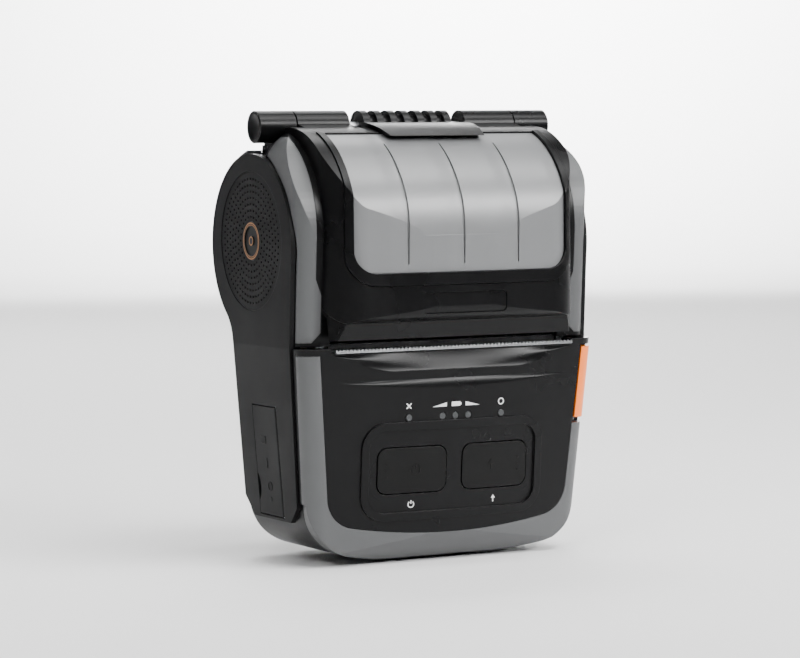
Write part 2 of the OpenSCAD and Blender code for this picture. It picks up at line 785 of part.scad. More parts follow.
// Spur gear outline with slim, backlashed teeth; one tooth points along start
module gear_outline(teeth, start = 0) {
    pr = gear_mod * teeth / 2;
    root = pr - gear_mod * 1.25;
    tip = pr + gear_mod * 0.85;
    pitch = 360 / teeth;
    circle(root + 0.02);
    for (i = [0 : teeth - 1]) rotate(start + i * pitch) polygon([
        for (p = [[root - 0.1, 0.30], [pr, 0.205], [tip, 0.09]]) [p[0] * cos(pitch * p[1]), -p[0] * sin(pitch * p[1])],
        for (p = [[tip, 0.09], [pr, 0.205], [root - 0.1, 0.30]]) [p[0] * cos(pitch * p[1]), p[0] * sin(pitch * p[1])]]);
}

idler_start = idler_dir + 180 + 180 / idler_teeth;
mesh_offset = (pinion_dir - idler_start) - floor((pinion_dir - idler_start) * idler_teeth / 360) * 360 / idler_teeth;
pinion_start = pinion_dir + 180 + mesh_offset * idler_teeth / pinion_teeth + 180 / pinion_teeth;

module gear(y, z, teeth, start, w) translate([gear_x - w / 2, y, z]) rotate([90, 0, 90])
    linear_extrude(w) gear_outline(teeth, start);

module platen_gear() color("#d8d5cb") difference() {
    gear(platen_y, platen_z, platen_teeth, idler_dir, gear_w);
    bar(-60, 0, platen_y, platen_z, shaft_r);
}

stud_r = 1.5;
module idler_gear() color("#d8d5cb") difference() {
    gear(idler_y, idler_z, idler_teeth, idler_start, gear_w);
    bar(-60, 0, idler_y, idler_z, stud_r + run_gap);
    translate([gear_x - gear_w / 2 - 1, idler_y, idler_z]) rotate([0, 90, 0]) difference() {
        cylinder(r = 6, h = 1.7);
        cylinder(r = 3, h = 1.7);
    }
}

module idler_stud() color("#b4b6b9") {
    bar(gear_x - gear_w / 2 - 0.8, -plate_x, idler_y, idler_z, stud_r);
    bar(gear_x - gear_w / 2 - 0.9, gear_x - gear_w / 2 - 0.2, idler_y, idler_z, 2.2);
    bar(gear_x + gear_w / 2 + 0.15, -plate_x - plate_t, idler_y, idler_z, 2.4);
}

pinion_bore = 1;
module motor_pinion() color("#c8a95a") difference() {
    gear(pinion_y, pinion_z, pinion_teeth, pinion_start, gear_w);
    bar(-60, 0, pinion_y, pinion_z, pinion_bore);
}

motor_r = 9.2;
module motor_shaft() color("#b4b6b9")
    bar(gear_x - gear_w / 2 - 0.3, -plate_x + 5, pinion_y, pinion_z, pinion_bore);

module stepper_motor() color("#9a9da1") difference() {
    union() {
        bar(-plate_x, -plate_x + 15, pinion_y, pinion_z, motor_r);
        bar(-plate_x - plate_t - 0.2, -plate_x + 1, pinion_y, pinion_z, 2.6);
        between(-plate_x, -plate_x + 1) translate([pinion_y, pinion_z]) rotate(12)
            round_rect(2 * motor_r + 8, 6, 2.9);
    }
    bar(-60, -plate_x + 6, pinion_y, pinion_z, pinion_bore + run_gap);
}

base_z = slit_z - 9.6;
head_y = platen_y;
head_w = 82;
rock = 0.4;

// Side plate of the chassis, with the notch that the platen bearing drops into
module plate_profile(low) difference() {
    union() {
        polygon([[platen_y - 4.6, base_z], [platen_y - 4.6, platen_z - 2], [platen_y - 2, platen_z + 5],
            [platen_y + 5.4, platen_z + 5], [2.4, base_z + 6], [2.4, base_z]]);
        if (low > 0) polygon([[platen_y - 2, base_z + 1], [2.4, base_z + 5], [pinion_y + motor_r + 1, pinion_z],
            [pinion_y + 4, base_z - low], [pinion_y - 4, base_z - low], [pinion_y - motor_r - 1, pinion_z]]);
    }
    platen_track(3.4 + 0.2);
    if (low > 0) translate([pinion_y, pinion_z]) circle(2.7);
    if (low > 0) translate([idler_y, idler_z]) circle(stud_r + 0.02);
}

module mechanism_frame() color("#a9acb0") {
    between(-plate_x - plate_t, -plate_x) plate_profile(8);
    between(plate_x, plate_x + plate_t) plate_profile(0);
    difference() {
        block([-plate_x - 0.1, platen_y - 4.6, base_z], [plate_x + 0.1, 2.4, base_z + plate_t]);
        for (x = spring_xs) translate([x, head_y, base_z - 1]) cylinder(r = 1, h = 4);
        bar(-60, -plate_x + 16, pinion_y, pinion_z, motor_r + seat);
    }
}

spring_xs = [-28, 0, 28];
module print_head() color("#c9ccd0") {
    block([-head_w / 2 + 1, head_y - 5, lip_z - 3.4], [head_w / 2 - 1, head_y + 5.5, lip_z - 1.45]);
    block([-head_w / 2 + 1, head_y - 1.2, lip_z - 1.46], [head_w / 2 - 1, head_y + 1.2, lip_z - 1.4]);
    for (x = spring_xs) translate([x, head_y, base_z + 0.6]) cylinder(r = 0.85, h = lip_z - 3.39 - base_z - 0.6);
}

// One unbroken coil of round wire that climbs h, with turns turns
module coil(r, wire, turns, h) {
    sides = 6;
    steps = 16;
    n = turns * steps;
    ring = [for (i = [0 : n], k = [0 : sides - 1]) let (a = 360 * i / steps, b = 360 * k / sides,
        q = r + wire * cos(b)) [q * cos(a), q * sin(a), h * i / n + wire * sin(b)]];
    polyhedron(ring, concat(
        [for (i = [0 : n - 1], k = [0 : sides - 1]) let (a = i * sides + k, b = i * sides + (k + 1) % sides)
            each [[a, a + sides, b], [b, a + sides, b + sides]]],
        [[for (k = [0 : sides - 1]) k], [for (k = [sides - 1 : -1 : 0]) n * sides + k]]), convexity = 8);
}

module head_springs() color("#9a9da1") for (x = spring_xs) translate([x, head_y, base_z + plate_t + 0.35])
    coil(1.7, 0.3, 4, lip_z - 3.4 - base_z - plate_t - 0.75 - rock);

module paper_sensor() color("#232326") {
    block([18, head_y + 6.6, base_z + plate_t], [26, head_y + 11.4, base_z + plate_t + 4]);
    block([20, head_y + 7.6, base_z + plate_t + 4], [24, head_y + 10.4, base_z + plate_t + 5]);
}

tear_y = lean_y(slit_z - 2.2, 0.6);
module tear_bar() color("#c4c7ca") {
    difference() {
        union() {
            block([-41.5, tear_y + 0.1, slit_z - 1.35], [41.5, platen_y - 5.4, slit_z - 0.8]);
            block([-41.5, tear_y, slit_z - 1.35], [41.5, tear_y + 0.8, slit_z - 0.2]);
        }
        for (i = [-33 : 32]) translate([(i + 0.5) * 1.255, tear_y - 1, slit_z - 0.15]) rotate([-90, 0, 0])
            cylinder(r = 0.62, h = 3, $fn = 4);
    }
    block([-40, platen_y - 6.4, base_z + 0.3], [40, platen_y - 5.4, slit_z - 0.81]);
    block([-40, platen_y - 5.41, base_z + 0.3], [40, platen_y - 4.6, base_z + plate_t]);
}

module latch_bar() color("#2b2b2e") {
    both_sides() between(plate_x - 1.5, plate_x - 0.3) polygon([[platen_y - 4.6, base_z + 3.2],
        [platen_y - 4.6, platen_z - 2.7], [platen_y - 2.9, platen_z - 2.7], [platen_y - 2.3, platen_z - 4.6],
        [platen_y + 3.5, platen_z - 4.6], [platen_y + 3.5, base_z + 6.6], [platen_y - 0.5, base_z + 3.2]]);
    bar(-plate_x + 0.4, plate_x - 0.4, platen_y - 3.4, base_z + 4.6, 0.9);
    block([plate_x - 1.5, platen_y - 8.2, base_z + 3.2], [plate_x - 0.3, platen_y - 4.5, base_z + 5]);
}

// Stem by which the release button pushes down the lug of the latch bar, with room g and travel down
module key_stem(g = 0, down = 0) block([plate_x - 0.8 - g, platen_y - 8.9 - g, base_z + 5.1 - g - down],
    [half_w - 1.8 + g, platen_y - 6.1 + g, base_z + 7 + g]);

// Ribbed button that replaces the bumper at the right front corner and slides down along it
module latch_button() color("#f07a1e") {
    out = half_w + key_out;
    difference() {
        on_corner() translate([0, 0, -key_down]) intersection() {
            translate([0, 0, -key_h / 2]) linear_extrude(key_h) intersection() {
                difference() {
                    translate([key_out, 0]) plan_half(0);
                    plan_half(skin);
                }
                translate([key_x, -60]) square([20, 60 - front_y + seam * cos(lean) - 0.15]);
            }
            depth(-60, 60) polygon([[key_x - 5, -key_h / 2 - 1], [half_w + 0.05, -key_h / 2 - 1],
                [half_w + 0.05, -key_h / 2], [out, -key_rib - 1.2], [out, key_rib + 1.2],
                [half_w + 0.05, key_h / 2], [half_w + 0.05, key_h / 2 + 1], [key_x - 5, key_h / 2 + 1]]);
        }
        on_corner() for (z = [-key_rib, 0, key_rib]) translate([half_w - 0.3, -60, z - key_down - 0.85])
            cube([5, 60, 1.7]);
    }
    key_stem();
}

board_t = 1.6;
main_y = 2.6;
// Run their children at each screw of the two boards, with +Z into the boss
module main_board_holes() for (x = [-20, 30], z = [13.4, 51]) translate([x, main_y, z]) rotate([-90, 0, 0]) children();
module control_board_holes() for (x = [-32, 32], z = [20, 49])
    translate([x, board_y + board_t, z]) rotate([90, 0, 0]) children();

module board_screws() color("#8a8c90") {
    main_board_holes() board_screw();
    control_board_holes() board_screw();
}

// Pan-head screw under its head at the origin, with a hex recess
module board_screw() difference() {
    union() {
        translate([0, 0, -1.2]) cylinder(r = 2, h = 1.2);
        cylinder(r = 1.2 - run_gap, h = 4.4);
    }
    translate([0, 0, -1.21]) cylinder(r = 0.8, h = 0.8, $fn = 6);
}

module main_board() color("#2f6b4a") {
    difference() {
        block([-23, main_y, 11.5], [38.5, main_y + board_t, 54]);
        main_board_holes() translate([0, 0, -1]) cylinder(r = 1.2, h = 6);
    }
    block([-6, main_y - 1.2, 24], [8, main_y + e, 38]);
    block([16, main_y - 1, 30], [26, main_y + e, 37]);
    block([10, main_y - 2.6, 13], [24, main_y + e, 19]);
}

// The two sockets in the port recess, as (height above its middle, width, height)
module socket_holes(g) {
    translate([-port_depth - 1.3, port_y, -8]) rotate([0, 90, 0]) cylinder(r = 3.6 + g, h = 1.6);
    translate([-port_depth - 1.3, port_y, 6]) rotate([90, 0, 90]) linear_extrude(1.6) round_rect(7.6 + 2 * g, 9.4 + 2 * g, 0.8);
}

module power_socket() color("#202022") on_left_flank(port_z) difference() {
    union() {
        translate([-port_depth - 1.3, port_y, -8]) rotate([0, 90, 0]) cylinder(r = 3.6, h = 1.4);
        block([-port_depth - 7, port_y - 4, -12.4], [-port_depth - 1.25, port_y + 4, -3.6]);
    }
    translate([-port_depth - 5.5, port_y, -8]) rotate([0, 90, 0]) cylinder(r = 2.75, h = 9);
}

module usb_socket() color("#b4b6b9") on_left_flank(port_z) difference() {
    union() {
        translate([-port_depth - 1.3, port_y, 6]) rotate([90, 0, 90]) linear_extrude(1.4) round_rect(7.6, 9.4, 0.8);
        block([-port_depth - 7, port_y - 4, 1], [-port_depth - 1.25, port_y + 4, 11]);
    }
    translate([-port_depth - 6, port_y, 6]) rotate([90, 0, 90]) linear_extrude(8) round_rect(6.4, 8.2, 0.6);
}

flap_pin_y = port_y - port_w / 2 + 1.3;
flap_pin_x = cap_t - 1;
module port_cover() color("#262627") on_left_flank(port_z) {
    difference() {
        union() {
            block([flap_pin_x - 0.5, flap_pin_y, -port_h / 2 + seat], [cap_t, port_y + port_w / 2 - seat, port_h / 2 - seat]);
            translate([flap_pin_x, flap_pin_y, -port_h / 2 + seat]) cylinder(r = 1, h = port_h - 2 * seat);
            block([-1.2, port_y - 3.4, -port_h / 2 + 3], [flap_pin_x, port_y + port_w / 2 - 2, port_h / 2 - 3]);
        }
        translate([flap_pin_x, flap_pin_y, -port_h]) cylinder(r = 0.5 + run_gap, h = 2 * port_h);
        translate([0, port_y + port_w / 2 + 4.4, -port_h / 2 + 8.6]) rotate([0, 90, 0]) cylinder(r = 6.4, h = 3);
        translate([-2, port_y + port_w / 2 + 2.6, -port_h / 2 + 8.6]) rotate([0, 90, 0]) cylinder(r = 6.4, h = 3);
    }
}

module port_pin_solid() on_left_flank(port_z)
    translate([flap_pin_x, flap_pin_y, -port_h / 2 - 1]) cylinder(r = 0.5, h = port_h + 2);
module port_hinge_pin() color("#b4b6b9") port_pin_solid();

module battery_pack() color("#1f1f20") difference() {
    union() {
        block([-battery_w / 2, battery_front, battery_low], [battery_w / 2, rear_y - 1, battery_low + battery_h]);
        translate([0, rear_y - 1.01, battery_low + battery_h / 2]) rotate([-90, 0, 0]) linear_extrude(3.6)
            round_rect(battery_w, battery_h, 4);
    }
    for (z = [-4, 0, 4]) translate([0, rear_y + 2.2, battery_low + 10 + z]) rotate([-90, 0, 0]) linear_extrude(1)
        round_rect(24, 1.6, 0.7);
    block([-11, battery_front - 1, battery_low + 3.4], [11, battery_front + 0.6, battery_low + 8.6]);
}

module battery_contacts() color("#d2b25a") for (x = [-7.5, -2.5, 2.5, 7.5])
    block([x - 1.2, battery_front - seat, battery_low + 4], [x + 1.2, battery_front - 0.05, battery_low + 8]);

latch_top = battery_low + battery_h;
module battery_latch() color("#1f1f20") {
    difference() {
        block([-8, rear_y - 4.7, latch_top + 0.35], [8, rear_y + 1.6, latch_top + 5.6]);
        for (z = [1.6, 3, 4.4]) block([-6, rear_y + 1.1, latch_top + z], [6, rear_y + 2, latch_top + z + 0.6]);
        translate([0, rear_y - 2.2, latch_top + 3]) cylinder(r = 2.2, h = 6);
    }
}

module battery_latch_spring() color("#9a9da1") translate([0, rear_y - 2.2, latch_top + 3.35])
    coil(1.5, 0.25, 4, 4.9);

clip_y = bay_y + barrel_r - seat;
clip_z = bay_z + 6;
module clip_pin() color("#b4b6b9") bar(-13, 13, clip_y + 2.2, clip_z, 1);

module belt_clip() color("#1f1f20") difference() {
    union() {
        bar(-8.6, 8.6, clip_y + 2.2, clip_z, 2);
        between(-8.6, 8.6) polygon([[clip_y + 2.2, clip_z + 2], [clip_y + 4.2, clip_z + 1], [clip_y + 4.2, clip_z - 40],
            [clip_y + 1.6, clip_z - 44], [clip_y + 0.4, clip_z - 43], [clip_y + 2.4, clip_z - 39.4], [clip_y + 2.4, clip_z - 1]]);
    }
    bar(-30, 30, clip_y + 2.2, clip_z, 1 + run_gap);
    translate([0, clip_y + 3.8, clip_z - 24]) rotate([-90, 0, 0]) linear_extrude(1) round_rect(8, 20, 3);
}

module clip_ears() color("#1f1f20") both_sides() difference() {
    union() {
        bar(9, 12.6, clip_y + 2.2, clip_z, 2);
        between(9, 12.6) polygon([[clip_y - 1.6, clip_z - 4], [clip_y + 4.2, clip_z], [clip_y + 2.2, clip_z + 2], [clip_y - 1.6, clip_z + 6]]);
    }
    bar(0, 30, clip_y + 2.2, clip_z, 1);
    across(60) translate([bay_y, bay_z]) circle(barrel_r - seat + 0.02);
}

main_housing();
front_panel();
lower_bumper();
rear_bumpers();
left_side_cap();
right_side_cap();
sound_grille();
side_badge();
cover_shell();
cover_bumpers();
window_frame();
cover_window();
name_plate();
hinge_knuckles();
hinge_barrel();
hinge_pin();
platen_bearings();
platen_shaft();
platen_roller();
platen_gear();
idler_gear();
idler_stud();
motor_pinion();
motor_shaft();
stepper_motor();
mechanism_frame();
tear_bar();
print_head();
head_springs();
paper_sensor();
latch_button();
latch_bar();
power_button();
feed_button();
button_domes();
control_board();
status_lights();
main_board();
board_screws();
usb_socket();
power_socket();
port_cover();
port_hinge_pin();
battery_contacts();
battery_pack();
battery_latch();
battery_latch_spring();
belt_clip();
clip_pin();
clip_ears();
housing_screws();
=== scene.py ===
"""Dresses the portable receipt printer: its finishes, printed and raised marks, springs and studio."""
import json
import math

import bpy
import numpy as np
from mathutils import Matrix, Vector
from mathutils.bvhtree import BVHTree
from mathutils.geometry import tessellate_polygon

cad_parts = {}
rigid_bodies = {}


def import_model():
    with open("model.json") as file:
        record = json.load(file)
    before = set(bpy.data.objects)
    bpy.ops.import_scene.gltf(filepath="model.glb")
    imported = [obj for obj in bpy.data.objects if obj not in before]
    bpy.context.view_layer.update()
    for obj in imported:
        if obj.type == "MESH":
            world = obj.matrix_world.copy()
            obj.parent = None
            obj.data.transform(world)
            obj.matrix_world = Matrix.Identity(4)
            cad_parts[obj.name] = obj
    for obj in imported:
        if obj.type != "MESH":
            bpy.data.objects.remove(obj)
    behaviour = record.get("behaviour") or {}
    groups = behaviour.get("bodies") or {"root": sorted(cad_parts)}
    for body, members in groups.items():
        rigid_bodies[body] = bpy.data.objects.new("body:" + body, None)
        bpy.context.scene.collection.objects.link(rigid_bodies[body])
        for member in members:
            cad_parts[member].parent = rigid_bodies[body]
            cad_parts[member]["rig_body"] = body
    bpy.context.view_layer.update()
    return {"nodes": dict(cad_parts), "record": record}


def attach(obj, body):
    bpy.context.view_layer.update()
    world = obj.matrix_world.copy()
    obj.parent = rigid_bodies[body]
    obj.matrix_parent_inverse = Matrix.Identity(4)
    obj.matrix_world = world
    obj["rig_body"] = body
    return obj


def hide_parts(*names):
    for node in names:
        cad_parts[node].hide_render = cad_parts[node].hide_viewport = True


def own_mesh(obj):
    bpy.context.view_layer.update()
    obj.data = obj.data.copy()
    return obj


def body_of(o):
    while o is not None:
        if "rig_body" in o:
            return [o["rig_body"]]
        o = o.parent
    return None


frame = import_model()
NODES = frame["nodes"]
MM = 0.001


def linear(colour):
    """Turns an sRGB hex value into linear RGBA."""
    value = colour.lstrip("#")
    channels = [int(value[i : i + 2], 16) / 255 for i in (0, 2, 4)]
    return [c / 12.92 if c <= 0.04045 else ((c + 0.055) / 1.055) ** 2.4 for c in channels] + [1.0]


def add(tree, kind, feed=(), **settings):
    """Adds one node with its settings; feed gives each input a value or the socket it is linked to."""
    node = tree.nodes.new(kind)
    for name, value in settings.items():
        setattr(node, name, value)
    for socket, value in dict(feed).items():
        if isinstance(value, bpy.types.NodeSocket):
            tree.links.new(value, node.inputs[socket])
        else:
            node.inputs[socket].default_value = value
    return node


def blend(tree, factor, low, high):
    """The colour output of a node that blends low into high by factor."""
    return add(tree, "ShaderNodeMixRGB", {"Fac": factor, "Color1": low, "Color2": high}).outputs["Color"]


def calc(tree, operation, *values):
    """The result of one math node; each value is a number or a socket."""
    return add(tree, "ShaderNodeMath", dict(enumerate(values)), operation=operation).outputs[0]


def surface(name, **sockets):
    """A new material with its Principled shader; sockets are set straight on the shader."""
    material = bpy.data.materials.new(name)
    material.use_nodes = True
    tree = material.node_tree
    shader = tree.nodes["Principled BSDF"]
    for socket, value in sockets.items():
        shader.inputs[socket.replace("_", " ")].default_value = value
    return material, tree, shader


def moulded(name, colour, rough, grain, relief, mottle=0.06, sweep=0.05, edge=0.25, shape=None, **sockets):
    """Moulded plastic: a base colour with slow mottle, a roughness that drifts, and the fine grain of
    the mould, grain mm across and relief deep. edge is the softened radius of its corners in mm, and
    shape gives the height in mm of a wider form in the face."""
    material, tree, shader = surface(name, **sockets)
    place = add(tree, "ShaderNodeTexCoord").outputs["Object"]
    slow = add(tree, "ShaderNodeTexNoise", {"Vector": place, "Scale": 45.0, "Detail": 3.0})
    fine = add(tree, "ShaderNodeTexNoise", {"Vector": place, "Scale": 1 / (grain * MM), "Detail": 2.0,
                                           "Roughness": 0.6})
    base = linear(colour)
    dark = [c * (1 - mottle) for c in base[:3]] + [1.0]
    light = [min(1.0, c * (1 + mottle)) for c in base[:3]] + [1.0]
    shade = blend(tree, slow.outputs["Fac"], dark, light)
    tree.links.new(shade, shader.inputs["Base Color"])
    drift = add(tree, "ShaderNodeMapRange", {"Value": slow.outputs["Fac"], "From Min": 0.3, "From Max": 0.7,
                                            "To Min": rough - sweep, "To Max": rough + sweep})
    tree.links.new(drift.outputs["Result"], shader.inputs["Roughness"])
    last = add(tree, "ShaderNodeBevel", {"Radius": edge * MM}, samples=4)
    if shape:
        last = add(tree, "ShaderNodeBump", {"Height": shape(tree, place), "Strength": 1.0, "Distance": MM,
                                           "Normal": last.outputs["Normal"]})
    bump = add(tree, "ShaderNodeBump", {"Height": fine.outputs["Fac"], "Strength": relief,
                                       "Distance": 0.05 * MM, "Normal": last.outputs["Normal"]})
    tree.links.new(bump.outputs["Normal"], shader.inputs["Normal"])
    return material


# Two forms in the front face, in mm: half width, lower edge z = low + hang u u, upper edge z = top - sag u u
# with u = x / half width, and depth
SCOOP = (42.0, 59.8, 5.2, 65.0, 0.0, 1.5)
CRESCENT = (40.0, 53.6, 3.05, 56.87, 0.22, 0.9)


def creases(tree, place):
    """Height in mm of the scoop and the crescent: between its two edges each sinks by depth t t, where t runs
    from 0 at the lower edge to 1 at the upper one, and outside them it is 0."""
    axes = add(tree, "ShaderNodeSeparateXYZ", {"Vector": place}).outputs
    z = calc(tree, "MULTIPLY", axes["Z"], 1 / MM)
    heights = []
    for half, low, hang, top, sag, depth in (SCOOP, CRESCENT):
        u = calc(tree, "MULTIPLY", axes["X"], 1 / (half * MM))
        square = calc(tree, "MULTIPLY", u, u)
        upper = calc(tree, "MULTIPLY_ADD", square, -sag, top)
        lower = calc(tree, "MULTIPLY_ADD", square, hang, low)
        share = add(tree, "ShaderNodeMapRange", {"Value": z, "From Min": lower, "From Max": upper})
        t = share.outputs["Result"]
        below, between = calc(tree, "LESS_THAN", z, upper), calc(tree, "LESS_THAN", square, 1.0)
        inside = calc(tree, "MULTIPLY", below, between)
        sink = calc(tree, "MULTIPLY", calc(tree, "MULTIPLY", t, t), -depth)
        heights.append(calc(tree, "MULTIPLY", sink, inside))
    return calc(tree, "ADD", *heights)


# The window's flutes: pitch and depth in mm, and the part of the pitch over which they sink
FLUTE_PITCH, FLUTE_DEPTH = 19.2, 0.35
FLUTE_START, FLUTE_END = 0.66, 0.97


def flutes(tree, place):
    """Height in mm of the window's shallow flutes: w runs from 0 to 1 between two slashes, and the face
    sinks by FLUTE_DEPTH s over its last third, s being a smooth step, before it jumps back at the slash."""
    axes = add(tree, "ShaderNodeSeparateXYZ", {"Vector": place}).outputs
    w = calc(tree, "FRACT", calc(tree, "MULTIPLY", axes["X"], 1 / (FLUTE_PITCH * MM)))
    sink = add(tree, "ShaderNodeMapRange", {"Value": w, "From Min": FLUTE_START, "From Max": FLUTE_END,
                                           "To Max": -FLUTE_DEPTH}, interpolation_type="SMOOTHSTEP")
    return sink.outputs["Result"]


def glaze_with_painted_shade(name, colour, painted_shade_colour, front_y):
    """A glazed colour that changes to a darker one, a painted shade, in front of y = front_y."""
    material, tree, shader = surface(name, Roughness=0.3)
    place = add(tree, "ShaderNodeTexCoord").outputs["Object"]
    y = add(tree, "ShaderNodeSeparateXYZ", {"Vector": place}).outputs["Y"]
    # Painted shade: everything in front of front_y takes the darker colour, standing in for the shade in the
    # paper slot
    before = calc(tree, "LESS_THAN", y, front_y)
    speck = add(tree, "ShaderNodeTexNoise", {"Vector": place, "Scale": 900.0}).outputs["Fac"]
    glaze = blend(tree, calc(tree, "MULTIPLY", speck, 0.1), linear(colour), linear("#ffffff"))
    tree.links.new(blend(tree, before, glaze, linear(painted_shade_colour)), shader.inputs["Base Color"])
    return material


# Centre of the side badge in metres; middle and half width in mm of each copper line, by radius
BADGE = (0.0, 0.0111, 0.0991)
COPPER_LINES = ((5.55, 0.2), (4.95, 0.12), (1.25, 0.2))


def badge_lines():
    """Dark badge with fine copper lines on its raised ring and dot, so that only they glint."""
    material, tree, shader = surface("copper_lines_on_black", Roughness=0.38, Specular_IOR_Level=0.2)
    place = add(tree, "ShaderNodeTexCoord").outputs["Object"]
    offset = add(tree, "ShaderNodeVectorMath", {0: place, 1: BADGE}, operation="SUBTRACT").outputs[0]
    in_plane = (0, 1 / MM, 1 / MM)
    flat = add(tree, "ShaderNodeVectorMath", {0: offset, 1: in_plane}, operation="MULTIPLY").outputs[0]
    r = add(tree, "ShaderNodeVectorMath", {0: flat}, operation="LENGTH").outputs["Value"]
    outer, inner, dot = (calc(tree, "COMPARE", r, middle, half) for middle, half in COPPER_LINES)
    mask = calc(tree, "MAXIMUM", calc(tree, "MAXIMUM", outer, inner), dot)
    tree.links.new(blend(tree, mask, linear("#161616"), linear("#a9784f")), shader.inputs["Base Color"])
    tree.links.new(mask, shader.inputs["Metallic"])
    return material


def metal(name, colour, rough, grain=(30.0, 900.0, 900.0), relief=0.15, edge=0.12, **sockets):
    """Worked metal: fine lines drawn along X by a noise stretched that way."""
    material, tree, shader = surface(name, Metallic=1.0, **sockets)
    shader.inputs["Base Color"].default_value = linear(colour)
    place = add(tree, "ShaderNodeTexCoord").outputs["Object"]
    along = add(tree, "ShaderNodeMapping", {"Vector": place, "Scale": grain})
    lines = add(tree, "ShaderNodeTexNoise", {"Vector": along.outputs["Vector"], "Scale": 1.0, "Detail": 3.0})
    drift = add(tree, "ShaderNodeMapRange", {"Value": lines.outputs["Fac"], "From Min": 0.3, "From Max": 0.7,
                                            "To Min": rough - 0.07, "To Max": rough + 0.07})
    tree.links.new(drift.outputs["Result"], shader.inputs["Roughness"])
    corner = add(tree, "ShaderNodeBevel", {"Radius": edge * MM}, samples=4)
    bump = add(tree, "ShaderNodeBump", {"Height": lines.outputs["Fac"], "Strength": relief,
                                       "Distance": 0.02 * MM, "Normal": corner.outputs["Normal"]})
    tree.links.new(bump.outputs["Normal"], shader.inputs["Normal"])
    return material


def circuit_board():
    """Solder mask on glass epoxy: glossy green with lighter copper tracks showing through it."""
    material, tree, shader = surface("solder_mask_on_glass_epoxy", Roughness=0.35)
    place = add(tree, "ShaderNodeTexCoord").outputs["Object"]
    tracks = add(tree, "ShaderNodeTexBrick", {"Vector": place, "Scale": 160.0, "Color1": linear("#1f5a3c"),
                                             "Color2": linear("#2a6e4a"), "Mortar": linear("#123a27"),
                                             "Mortar Size": 0.12, "Brick Width": 0.9, "Row Height": 0.28})
    tree.links.new(tracks.outputs["Color"], shader.inputs["Base Color"])
    return material


# The two blacks keep a low reflectance, so that they stay deep in a white room
BLACK, BLACK_SHINE = "#080809", 0.17
# Painted shade darkens the print head in front of this y, in metres
HEAD_FRONT = -16.2 * MM

FINISHES = {
    # Gloss ABS straight from a polished mould: deep black with a soft, even shine.
    "black_abs": moulded("polished_black_abs", BLACK, 0.3, 0.5, 0.05, Specular_IOR_Level=BLACK_SHINE),
    # ABS from a spark-eroded mould: a fine leathery grain that scatters the light.
    "charcoal_abs": moulded("spark_eroded_charcoal_abs", "#0f0f10", 0.5, 0.5, 0.2, Specular_IOR_Level=0.12),
    # Impact-resistant gray plastic with a fine matt grain.
    "gray_bumper": moulded("matt_gray_impact_plastic", "#4c4d4e", 0.42, 0.5, 0.18, edge=0.35),
    # Pearl-gray painted plastic: smooth, with a broad satin highlight.
    "window_gray": moulded("satin_painted_gray_polycarbonate", "#6a6b6c", 0.34, 0.6, 0.03, mottle=0.01,
                           sweep=0.02, shape=flutes, Coat_Weight=0.45, Coat_Roughness=0.32),
    # Silicone-coated keys: a dry, dark surface with little shine.
    "button_black": moulded("coated_black_key_plastic", "#080808", 0.34, 0.5, 0.06,
                            Specular_IOR_Level=BLACK_SHINE),
    # Orange ABS, moulded in colour and slightly glossy.
    "orange": moulded("moulded_orange_abs", "#ff7a1c", 0.38, 0.6, 0.08),
    # Fine copper lines that glint on a dull black disc.
    "copper_print": badge_lines(),
    # Black acrylic plate, a little smoother than the cover round it.
    "plate_black": moulded("gloss_black_acrylic", BLACK, 0.28, 0.7, 0.02, Specular_IOR_Level=BLACK_SHINE),
    # Metals: the drawn lines stretch the highlights, from bright steel to warm brass and gold.
    "steel": metal("bright_rolled_steel", "#b9bbbd", 0.3),
    "spring_steel": metal("drawn_spring_steel", "#8f9296", 0.3),
    "zinc_frame": metal("zinc_plated_steel", "#a7abae", 0.35, grain=(220.0, 220.0, 220.0)),
    "brass": metal("turned_brass", "#c0a050", 0.28),
    "motor_can": metal("nickel_plated_can", "#96999c", 0.32, grain=(220.0, 220.0, 220.0)),
    "contact_gold": metal("gold_plated_contact", "#d0ab58", 0.22),
    "dome_steel": metal("stamped_dome_steel", "#b4b7ba", 0.28),
    # Natural acetal: milky, with a little light let in.
    "acetal": moulded("natural_acetal", "#d8d4c6", 0.4, 0.7, 0.05, Subsurface_Weight=0.05),
    # Ground rubber: dull and grainy, so that the roller looks soft.
    "rubber": moulded("ground_silicone_rubber", "#242425", 0.75, 0.4, 0.3),
    "board": circuit_board(),
    # Print head: a glazed ceramic strip, its front painted dark in front of HEAD_FRONT as painted shade of
    # the paper slot.
    "ceramic": glaze_with_painted_shade("glazed_ceramic_with_painted_shade_in_front", "#c4c6c8", "#121213", HEAD_FRONT),
    # Light pipes that are off: dull gray dots.
    "light_pipe": moulded("frosted_light_pipe", "#3a3c3d", 0.3, 0.6, 0.05),
    # Glass-filled nylon: dark, with the dry look of its fibres.
    "socket_black": moulded("glass_filled_nylon", "#1c1c1e", 0.5, 0.5, 0.2),
}
# The front panel has the same black, with the scoop and the crescent under its paper slot
CREASED = moulded("creased_black_abs", BLACK, 0.3, 0.5, 0.05, shape=creases, Specular_IOR_Level=BLACK_SHINE)
SLOT = {row["node"]: row["material_slot"] for row in frame["record"]["subparts"]}
for node, obj in NODES.items():
    obj.data.materials.clear()
    obj.data.materials.append(CREASED if node == "front_panel" else FINISHES[SLOT[node]])

